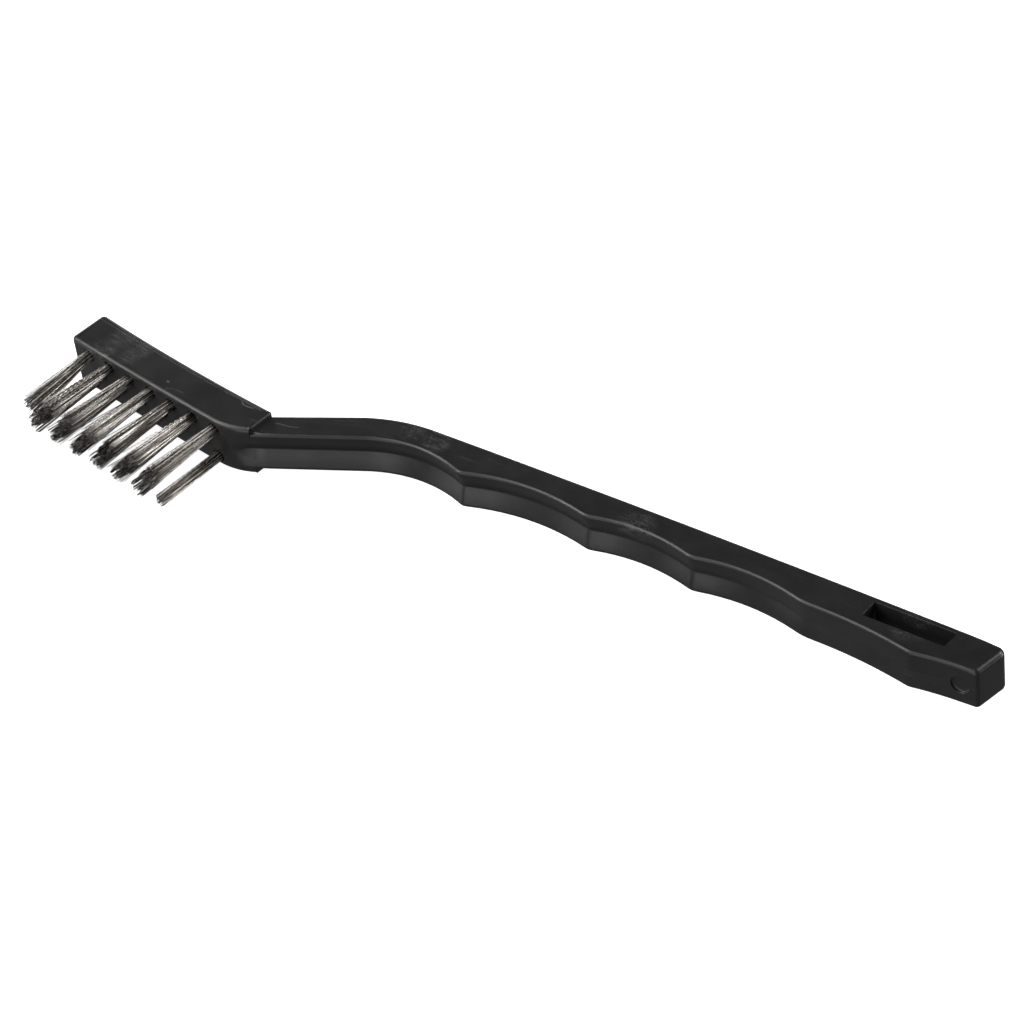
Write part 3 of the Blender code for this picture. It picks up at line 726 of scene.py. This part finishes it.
def tuft_mesh(index, label):
    rng = random.Random(4100 + index * 17)
    sides = 5
    half = [pack_half(rng, WIRES, TUFT_ROOT_R - 0.085, FOLD_GAP + 0.06, 0.165) for _ in (0, 1)]
    # past the anchor the two halves close up, and leave the hole as one round bundle
    mouth = [pack_half(rng, WIRES, TUFT_ROOT_R - 0.085, 0.05, 0.185) for _ in (0, 1)]
    # the cut ends fill the whole round of the tuft, so the halves close up on the way
    ends_at = [pack_half(rng, WIRES, TUFT_TIP_R - 0.09, -0.30, 0.36) for _ in (0, 1)]

    def sorted_by_place(h, strip):
        return sorted(range(WIRES), key=lambda i: (round(h[i, 0] / strip), h[i, 1]))
    # pair the two legs of a wire by their place along the anchor
    order = [sorted_by_place(h, 0.22) for h in half]
    mouth_order = [sorted_by_place(h, 0.24) for h in mouth]
    tip_order = [sorted_by_place(h, 0.48) for h in ends_at]
    sd, td = rot((0.0, 1.0), ANCHOR_TURN), rot((1.0, 0.0), ANCHOR_TURN)
    fold_y = ANCHOR_TOP + ANCHOR_H - FOLD_GAP * 0.3
    lean = (rng.uniform(-0.12, 0.12), rng.uniform(-0.12, 0.12))
    if label in LEAN:
        # given along the head and across it; turned into the fold's own axes
        lx, lz = LEAN[label]
        lean = ((lx - lz) * math.sqrt(0.5), (lx + lz) * math.sqrt(0.5))
    lean_len = math.hypot(*lean)
    phase = [rng.uniform(0, 2 * math.pi)] * 2
    verts, quads, ends, base = [], [], [], 0
    for rank, (ia, ib) in enumerate(zip(*order)):
        legs, roots, mouths = [], [], []
        for s, (h, i) in enumerate(((half[0], ia), (half[1], ib))):
            side = 1.0 if s == 0 else -1.0
            root = (h[i, 0] * side, h[i, 1])
            out = mouth[s][mouth_order[s][rank]]
            out = (out[0] * side, out[1])
            to = ends_at[s][tip_order[s][rank]]
            fan = SPREAD.get(label, 1.0)
            tip = [to[0] * side * fan + rng.gauss(0, 0.13) + lean[0],
                   to[1] * fan + rng.gauss(0, 0.13) + lean[1]]
            limit = TUFT_TIP_R - 0.05 + lean_len
            if rng.random() < 0.07:
                limit += 0.30
                tip[0] *= 1.3
                tip[1] *= 1.3
            rad = math.hypot(*tip)
            if rad > limit:
                tip = [tip[0] * limit / rad, tip[1] * limit / rad]
            length = WIRE_FREE - 0.12 - abs(rng.gauss(0, 0.26))
            # position along the head: the crimped wire lies mostly towards the free end
            along = (out[0] * sd[0] + out[1] * td[0]) / TUFT_ROOT_R
            beads = label in BEADS
            crimped = rng.random() < (0.30 if beads else 0.16) - 0.55 * along
            amp = rng.uniform(0.10, 0.16) if beads else rng.uniform(0.05, 0.12)
            plane = math.radians(45 + rng.gauss(0, 14))
            bend = (rng.uniform(-0.11, 0.11), rng.uniform(-0.11, 0.11),
                    rng.uniform(0, 6.3), rng.uniform(2.0, 6.0), rng.uniform(0, 6.3))
            legs.append(wire_leg(rng, out, tip, length, crimped, amp,
                                 phase[s] + rng.gauss(0, BEADS.get(label, 1.1)), plane, bend))
            roots.append(root)
            mouths.append(out)
        (ra, rt), (sa, st) = roots
        path = [legs[0][::-1]]
        arc = []
        m = 8
        for q in range(m + 1):
            g = math.pi * q / m
            w = q / m
            r = (ra * (1 - w) - sa * w)
            r = min(r, FOLD_DEPTH - fold_y - 0.09)
            arc.append((r * math.cos(g), fold_y + r * math.sin(g), (rt * (1 - w) + st * w) * 0.9))
        near = ANCHOR_TOP - 0.15
        path.append(np.array([(mouths[0][0], 0.4, mouths[0][1]), (ra, near, rt)]))
        path.append(np.array(arc))
        path.append(np.array([(sa, near, st), (mouths[1][0], 0.4, mouths[1][1])]))
        path.append(legs[1])
        p = np.vstack(path)
        a, y, t = p[:, 0], p[:, 1], p[:, 2]
        local = np.column_stack((a * sd[0] + t * td[0], y, -(a * sd[1] + t * td[1])))
        v, q, e = tube(local, WIRE_D / 2, sides, rng.uniform(0, 6.3))
        verts.append(v)
        quads.append(q + base)
        ends += [[i + base for i in f] for f in e]
        base += len(v)
    return np.vstack(verts), np.vstack(quads), ends


def wire_object(label, index, place, mats, lo, hi):
    v, quads, ends = tuft_mesh(index, label)
    m = np.array(place)
    w = (v @ m[:3, :3].T + m[:3, 3]) * MM
    w = np.clip(w, lo, hi)
    faces = quads.tolist() + ends
    me = bpy.data.meshes.new("wires_" + label)
    me.from_pydata(w.tolist(), [], faces)
    for mat in mats:
        me.materials.append(mat)
    idx = np.zeros(len(faces), dtype=np.int32)
    idx[len(quads):] = 1
    me.polygons.foreach_set("material_index", idx)
    me.shade_smooth()
    me.set_sharp_from_angle(angle=math.radians(74))
    me.update()
    return temp("wires_" + label, me)


# ------------------------------------------------------------------ materials
class Nodes:
    """Small helper to write node trees as expressions."""

    def __init__(self, mat):
        mat.use_nodes = True
        self.t = mat.node_tree
        self.t.nodes.clear()
        self.out = self.t.nodes.new("ShaderNodeOutputMaterial")
        self.count = 0

    def new(self, kind, **props):
        n = self.t.nodes.new(kind)
        n.location = (180 * (self.count % 12) - 2000, -160 * (self.count // 12))
        self.count += 1
        for k, v in props.items():
            setattr(n, k, v)
        return n

    def put(self, socket, value):
        if isinstance(value, bpy.types.NodeSocket):
            self.t.links.new(value, socket)
        elif value is not None:
            socket.default_value = value

    def math(self, op, a, b=None, c=None, clamp=False):
        n = self.new("ShaderNodeMath", operation=op, use_clamp=clamp)
        for s, v in zip(n.inputs, (a, b, c)):
            self.put(s, v)
        return n.outputs[0]

    def coords(self):
        return self.new("ShaderNodeTexCoord").outputs["Object"]

    def scaled(self, vec, scale, loc=(0, 0, 0), turn=(0, 0, 0)):
        n = self.new("ShaderNodeMapping", vector_type="POINT")
        self.put(n.inputs["Vector"], vec)
        n.inputs["Scale"].default_value = scale
        n.inputs["Location"].default_value = loc
        n.inputs["Rotation"].default_value = turn
        return n.outputs[0]

    def noise(self, vec, scale, detail=2.0, rough=0.5, distort=0.0):
        n = self.new("ShaderNodeTexNoise")
        self.put(n.inputs["Vector"], vec)
        n.inputs["Scale"].default_value = scale
        n.inputs["Detail"].default_value = detail
        n.inputs["Roughness"].default_value = rough
        n.inputs["Distortion"].default_value = distort
        return n.outputs["Fac"]

    def ramp(self, value, lo, hi, out_lo=0.0, out_hi=1.0, kind="SMOOTHSTEP"):
        n = self.new("ShaderNodeMapRange", interpolation_type=kind)
        self.put(n.inputs["Value"], value)
        n.inputs["From Min"].default_value = lo
        n.inputs["From Max"].default_value = hi
        n.inputs["To Min"].default_value = out_lo
        n.inputs["To Max"].default_value = out_hi
        return n.outputs["Result"]

    def mix(self, fac, a, b):
        n = self.new("ShaderNodeMix", data_type="RGBA", blend_type="MIX")
        self.put(n.inputs[0], fac)
        self.put(n.inputs[6], a)
        self.put(n.inputs[7], b)
        return n.outputs[2]

    def bump(self, height, strength, distance, normal=None):
        n = self.new("ShaderNodeBump")
        self.put(n.inputs["Height"], height)
        n.inputs["Strength"].default_value = strength
        n.inputs["Distance"].default_value = distance
        if normal is not None:
            self.put(n.inputs["Normal"], normal)
        return n.outputs[0]

    def near_line(self, vec, a, b, width):
        """1 on the straight line from a to b (metres), falling to 0 at width."""
        av, bv = Vector(a), Vector(b)
        d = bv - av
        sub = self.new("ShaderNodeVectorMath", operation="SUBTRACT")
        self.put(sub.inputs[0], vec)
        sub.inputs[1].default_value = av
        dot = self.new("ShaderNodeVectorMath", operation="DOT_PRODUCT")
        self.put(dot.inputs[0], sub.outputs[0])
        dot.inputs[1].default_value = d / d.length_squared
        k = self.math("MAXIMUM", self.math("MINIMUM", dot.outputs["Value"], 1.0), 0.0)
        sc = self.new("ShaderNodeVectorMath", operation="SCALE")
        sc.inputs[0].default_value = d
        self.put(sc.inputs["Scale"], k)
        dist = self.new("ShaderNodeVectorMath", operation="DISTANCE")
        self.put(dist.inputs[0], sub.outputs[0])
        self.put(dist.inputs[1], sc.outputs[0])
        return self.ramp(dist.outputs["Value"], width, width * 0.25)

    def principled(self, **values):
        n = self.new("ShaderNodeBsdfPrincipled")
        for k, v in values.items():
            self.put(n.inputs[k.replace("_", " ")], v)
        self.t.links.new(n.outputs[0], self.out.inputs["Surface"])
        return n


def rgb(r, g, b):
    return (r, g, b, 1.0)


# Y of the cut ends once the head is turned level, in metres
_c, _s = math.cos(math.radians(-HEAD_ANGLE)), math.sin(math.radians(-HEAD_ANGLE))
TIP_Y = (_s * SHIFT[0] + _c * SHIFT[1] + HEAD_FACE_V - WIRE_FREE) * MM


# scratches on the top of head and neck, and one painted highlight along the head's back edge: points (x, y),
# height, half width, strength; mm
SCRATCHES_AND_EDGE_HIGHLIGHT = (
    (((-65.56, 1.22), (-64.47, 1.71), (-63.22, 1.81), (-61.81, 1.66)), 10.5, 0.13, 0.55),
    (((-66.40, 2.92), (-66.08, 2.84)), 10.5, 0.26, 1.00),
    (((-51.35, 4.74), (-50.69, 4.29), (-49.66, 4.17), (-48.54, 4.32)), 10.5, 0.16, 1.00),
    (((-43.71, 4.00), (-42.64, 4.22), (-41.11, 4.38), (-39.59, 4.99)), 9.35, 0.10, 1.00),
    # painted highlight: a light line just inside the head's back edge, where the back fillet starts
    (((-88.60, 10.90), (-77.26, 8.85), (-64.39, 6.80), (-58.30, 5.88), (-46.85, 4.46)), 10.5, 0.14, 0.70),
    (((-77.23, 8.60), (-74.25, 7.40)), 10.5, 0.14, 0.45),
    (((-77.28, 7.90), (-73.97, 6.70)), 10.5, 0.12, 0.35),
    (((-43.2, 6.1), (-30.0, 11.6)), 9.35, 0.09, 0.22),
    (((-42.9, 5.5), (-28.5, 11.2)), 9.35, 0.08, 0.16),
)
# rubbed patches: centre, radius, direction of the strokes
SCUFFS = (
    ((-80.8, 8.9, 10.5), 3.6, 12.0),
    ((-75.9, 7.8, 10.5), 3.4, 24.0),
    ((-76.4, 4.9, 10.5), 2.8, -8.0),
    ((-82.0, 4.2, 10.5), 3.4, 20.0),
    ((-16.5, 13.4, 9.35), 3.4, 6.0),
    ((-21.6, 13.6, 9.35), 3.0, -18.0),
    ((24.0, 11.5, 9.35), 4.5, 4.0),
    ((74.0, 13.0, 9.35), 4.0, -3.0),
    ((-60.0, 4.2, 0.0), 3.6, 10.0),
    ((12.0, 13.3, 1.15), 3.3, 4.0),
)


def plastic_material():
    mat = bpy.data.materials.new("black_moulded_plastic")
    n = Nodes(mat)
    p = n.coords()
    cloud = n.noise(p, 55.0, 3.0, 0.55)
    patch = n.noise(n.scaled(p, (1, 1, 1), (3.1, 0.7, 0.2)), 210.0, 4.0, 0.6)
    grain = n.noise(p, 5200.0, 3.0, 0.6)
    pits = n.noise(p, 1400.0, 2.0, 0.5)
    # fine rubs that run along the handle, thin and broken up
    rub = n.noise(n.scaled(p, (60.0, 2600.0, 2600.0)), 1.0, 3.0, 0.6, 0.4)
    rub_on = n.ramp(rub, 0.62, 0.70)
    where = n.ramp(n.noise(p, 120.0, 2.0, 0.5), 0.48, 0.62)
    rubs = n.math("MULTIPLY", rub_on, where)
    col = n.mix(n.ramp(cloud, 0.3, 0.7), rgb(0.0092, 0.0090, 0.0094), rgb(0.0132, 0.0129, 0.0132))
    col = n.mix(n.math("MULTIPLY", rubs, 0.35), col, rgb(0.034, 0.033, 0.034))
    # single scratches and the painted highlight line along the head's back edge, each a few straight runs with
    # a wandering edge
    wob = n.new("ShaderNodeTexNoise")
    n.put(wob.inputs["Vector"], p)
    wob.inputs["Scale"].default_value = 900.0
    wob.inputs["Detail"].default_value = 2.0
    cen = n.new("ShaderNodeVectorMath", operation="SUBTRACT")
    n.put(cen.inputs[0], wob.outputs["Color"])
    cen.inputs[1].default_value = (0.5, 0.5, 0.5)
    amt = n.new("ShaderNodeVectorMath", operation="SCALE")
    n.put(amt.inputs[0], cen.outputs[0])
    amt.inputs["Scale"].default_value = 0.00035
    pw = n.new("ShaderNodeVectorMath", operation="ADD")
    n.put(pw.inputs[0], p)
    n.put(pw.inputs[1], amt.outputs[0])
    marks_and_edge_highlight = None
    for pts, z, width, weight in SCRATCHES_AND_EDGE_HIGHLIGHT:
        for a, b in zip(pts[:-1], pts[1:]):
            m = n.near_line(pw.outputs[0], (a[0] * MM, a[1] * MM, z * MM),
                            (b[0] * MM, b[1] * MM, z * MM), width * MM)
            m = n.math("MULTIPLY", m, weight)
            marks_and_edge_highlight = m if marks_and_edge_highlight is None else n.math("MAXIMUM", marks_and_edge_highlight, m)
    marks_and_edge_highlight = n.math("MULTIPLY", marks_and_edge_highlight, n.ramp(n.noise(p, 1500.0, 2.0, 0.6), 0.30, 0.52, 0.35, 1.0))
    # hazy rubbed patches made of many short strokes
    haze = None
    for at, radius, turn in SCUFFS:
        near = n.new("ShaderNodeVectorMath", operation="DISTANCE")
        n.put(near.inputs[0], p)
        near.inputs[1].default_value = tuple(v * MM for v in at)
        soft = n.ramp(near.outputs["Value"], radius * MM, radius * 0.35 * MM)
        stroke = n.noise(n.scaled(p, (420.0, 2300.0, 600.0), (0, 0, 0), (0, 0, math.radians(turn))),
                         1.0, 4.0, 0.65, 0.6)
        fleck = n.noise(p, 3600.0, 2.0, 0.6)
        m = n.math("MULTIPLY", soft, n.math("MAXIMUM", n.ramp(stroke, 0.46, 0.66), n.ramp(fleck, 0.56, 0.64)))
        haze = m if haze is None else n.math("MAXIMUM", haze, m)
    col = n.mix(n.math("MULTIPLY", haze, 0.75), col, rgb(0.072, 0.070, 0.069))
    # lighter scratches, and the painted highlight along the head's back edge
    col = n.mix(n.math("MULTIPLY", marks_and_edge_highlight, 0.85), col, rgb(0.12, 0.118, 0.115))
    dust = n.math("MULTIPLY", n.ramp(n.noise(p, 2600.0, 1.0, 0.4), 0.72, 0.80), 0.4)
    col = n.mix(dust, col, rgb(0.045, 0.044, 0.043))
    rough = n.math("ADD", n.ramp(patch, 0.30, 0.72, 0.30, 0.40), n.math("MULTIPLY", rubs, 0.10))
    bump = n.bump(grain, 0.22, 0.00002)
    bump = n.bump(pits, 0.30, 0.00003, bump)
    bump = n.bump(rubs, 0.25, 0.00002, bump)
    bump = n.bump(n.math("ADD", marks_and_edge_highlight, n.math("MULTIPLY", haze, 0.5)), 0.30, 0.00003, bump)
    n.principled(Base_Color=col, Roughness=rough, Normal=bump, IOR=1.5, Specular_IOR_Level=0.40,
                 Metallic=0.0)
    return mat


def steel_material(name="steel_wire", painted_end_shade=False):
    mat = bpy.data.materials.new(name)
    n = Nodes(mat)
    p = n.coords()
    turn = n.scaled(p, (1, 1, 1), (0, 0, 0), (0, 0, math.radians(-HEAD_ANGLE)))
    strand = n.new("ShaderNodeNewGeometry").outputs["Random Per Island"]
    drawn = n.noise(n.scaled(turn, (9000.0, 420.0, 9000.0)), 1.0, 2.0, 0.6)
    spots = n.noise(p, 900.0, 3.0, 0.6)
    if painted_end_shade:
        # painted shade: most cut ends are near-black and a few pale, standing in for the shade between the ends
        col = n.mix(n.ramp(strand, 0.55, 0.65), rgb(0.045, 0.040, 0.036), rgb(0.80, 0.77, 0.73))
        rough = n.ramp(spots, 0.3, 0.7, 0.35, 0.6)
    else:
        col = n.mix(n.ramp(strand, 0.20, 0.80), rgb(0.085, 0.072, 0.063), rgb(0.95, 0.905, 0.86))
        col = n.mix(n.math("MULTIPLY", n.ramp(spots, 0.52, 0.68), 0.45), col, rgb(0.20, 0.165, 0.135))
        # painted shade: darker and duller towards the cut ends, where the ends shade each other
        sep = n.new("ShaderNodeSeparateXYZ")
        n.put(sep.inputs[0], turn)
        painted_tip_shade = n.ramp(sep.outputs["Y"], TIP_Y + 0.0004, TIP_Y + 0.0036, 1.0, 0.0)
        painted_tip_shade = n.math("MULTIPLY", painted_tip_shade, n.ramp(n.noise(p, 700.0, 2.0, 0.5), 0.25, 0.65, 0.55, 1.0))
        speck = n.ramp(n.noise(p, 3300.0, 1.0, 0.5), 0.58, 0.66, 0.86, 0.10)
        col = n.mix(n.math("MULTIPLY", painted_tip_shade, speck), col, rgb(0.045, 0.038, 0.033))
        rough = n.math("ADD", n.ramp(drawn, 0.3, 0.7, 0.22, 0.42), n.math("MULTIPLY", painted_tip_shade, 0.12))
    bump = n.bump(drawn, 0.25, 0.00001)
    n.principled(Base_Color=col, Roughness=rough, Metallic=1.0, Normal=bump)
    return mat


def anchor_material():
    mat = bpy.data.materials.new("anchor_strip")
    n = Nodes(mat)
    p = n.coords()
    lines = n.noise(n.scaled(p, (400.0, 9000.0, 9000.0)), 1.0, 3.0, 0.6)
    stain = n.noise(p, 1800.0, 3.0, 0.6)
    col = n.mix(n.ramp(stain, 0.4, 0.68), rgb(0.52, 0.49, 0.44), rgb(0.26, 0.22, 0.18))
    rough = n.ramp(lines, 0.3, 0.7, 0.30, 0.48)
    n.principled(Base_Color=col, Roughness=rough, Metallic=1.0, Normal=n.bump(lines, 0.3, 0.00001))
    return mat


# ------------------------------------------------------------------ the object
plastic = plastic_material()
steel = steel_material()
# material for the cut ends, coloured with painted shade
cut = steel_material("steel_wire_cut_painted_shade", painted_end_shade=True)
clip = anchor_material()

lo = np.array(size_at_load[0]) + 1e-6
hi = np.array(size_at_load[1]) - 1e-6
body = temp("brush_body", body_mesh())
for vert in body.data.vertices:
    vert.co = np.clip(vert.co, lo, hi).tolist()
body.data.materials.clear()
body.data.materials.append(plastic)
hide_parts("handle_body")
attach(body, "root")

for number, (label, place) in enumerate(tuft_places()):
    wires = wire_object(label, number, place, (steel, cut), lo, hi)
    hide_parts("wire_tuft_" + label)
    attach(wires, "root")
    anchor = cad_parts["tuft_anchor_" + label]
    anchor.data.materials.clear()
    anchor.data.materials.append(clip)

# ------------------------------------------------------------------ floor
def floor_material():
    mat = bpy.data.materials.new("floor")
    n = Nodes(mat)
    p = n.coords()
    v = n.noise(p, 3.0, 2.0, 0.5)
    col = n.mix(n.ramp(v, 0.3, 0.7), rgb(0.86, 0.86, 0.86), rgb(0.88, 0.88, 0.88))
    n.principled(Base_Color=col, Roughness=0.9, Specular_IOR_Level=0.1,
                 Emission_Color=rgb(1, 1, 1), Emission_Strength=0.94)
    mat.cycles.emission_sampling = "NONE"
    return mat


def floor_object():
    n = 24
    size = 6.0
    bm = bmesh.new()
    grid = [[bm.verts.new(((i / n - 0.5) * size, (j / n - 0.5) * size, 0.0)) for j in range(n + 1)]
            for i in range(n + 1)]
    for i in range(n):
        for j in range(n):
            bm.faces.new((grid[i][j], grid[i + 1][j], grid[i + 1][j + 1], grid[i][j + 1]))
    me = bpy.data.meshes.new("studio_floor")
    bm.to_mesh(me)
    bm.free()
    ob = temp("studio_floor", me)
    me.materials.append(floor_material())
    # the studio ground is bright only to the lens, as in a cut-out product shot
    ob.visible_glossy = False
    ob.visible_diffuse = False
    ob.visible_shadow = False
    return ob


floor = floor_object()


# ------------------------------------------------------------------ light
def softbox(name, azimuth, elevation, width, height, power, distance=1.6, tint=(1, 1, 1)):
    """Rectangular lamp that faces the object.  Azimuth 0 is straight in front (-Y),
    positive to the right (+X)."""
    az, el = math.radians(azimuth), math.radians(elevation)
    d = Vector((math.sin(az) * math.cos(el), -math.cos(az) * math.cos(el), math.sin(el)))
    lamp = bpy.data.lights.new(name, "AREA")
    lamp.shape = "RECTANGLE"
    lamp.size = width
    lamp.size_y = height
    lamp.energy = power
    lamp.color = tint
    ob = bpy.data.objects.new(name, lamp)
    bpy.context.scene.collection.objects.link(ob)
    ob.location = d * distance
    ob.rotation_euler = (-d).to_track_quat("-Z", "Y").to_euler()
    return ob


for name, az, el, power in (("left_middle", -50, 30, 12.0), ("right_back_low", 125, 6, 10.0),
                            ("left_high", -60, 55, 7.6), ("left_back_low", -125, 6, 4.6),
                            ("front_left", -25, 30, 4.2), ("front_high", -20, 55, 3.5),
                            ("front_low", 0, 6, 2.9), ("left_low", -75, 6, 2.6),
                            ("front_under", 0, -14, 2.0), ("front_right_low", 25, 6, 1.7),
                            ("front_left_under", -50, -14, 1.5), ("front_middle", 0, 30, 1.3),
                            ("left_under", -75, -14, 1.2), ("back_left_low", -150, 6, 2.2),
                            ("back_right_low", 150, 6, 0.8), ("back_right_high", 142, 38, 14.0)):
    softbox(name, az, el, 0.62, 0.62, power)

world = bpy.data.worlds.new("studio")
bpy.context.scene.world = world
world.use_nodes = True
wt = world.node_tree
wt.nodes.clear()
w_out = wt.nodes.new("ShaderNodeOutputWorld")
w_bg = wt.nodes.new("ShaderNodeBackground")
w_geo = wt.nodes.new("ShaderNodeTexCoord")
w_sep = wt.nodes.new("ShaderNodeSeparateXYZ")
w_map = wt.nodes.new("ShaderNodeMapRange")
wt.links.new(w_geo.outputs["Generated"], w_sep.inputs[0])
wt.links.new(w_sep.outputs["Z"], w_map.inputs["Value"])
w_map.inputs["From Min"].default_value = -0.02
w_map.inputs["From Max"].default_value = 0.02
w_map.inputs["To Min"].default_value = 0.254
w_map.inputs["To Max"].default_value = 0.105
wt.links.new(w_map.outputs["Result"], w_bg.inputs["Strength"])
wt.links.new(w_bg.outputs[0], w_out.inputs["Surface"])

bpy.context.scene.view_settings.view_transform = "Standard"

# ------------------------------------------------------------------ camera
cam = bpy.data.cameras.new("photo_camera")
cam.lens = 109.20147
cam.sensor_width = 36.0
cam.clip_start = 0.01
cam.clip_end = 50.0
cam_ob = bpy.data.objects.new("photo_camera", cam)
bpy.context.scene.collection.objects.link(cam_ob)
cam_ob.rotation_mode = "QUATERNION"
cam_ob.rotation_quaternion = Quaternion((0.8828690, 0.3689642, 0.1508317, 0.2483096))
cam_ob.location = (0.2345097, -0.2901869, 0.3584891)
bpy.context.scene.camera = cam_ob
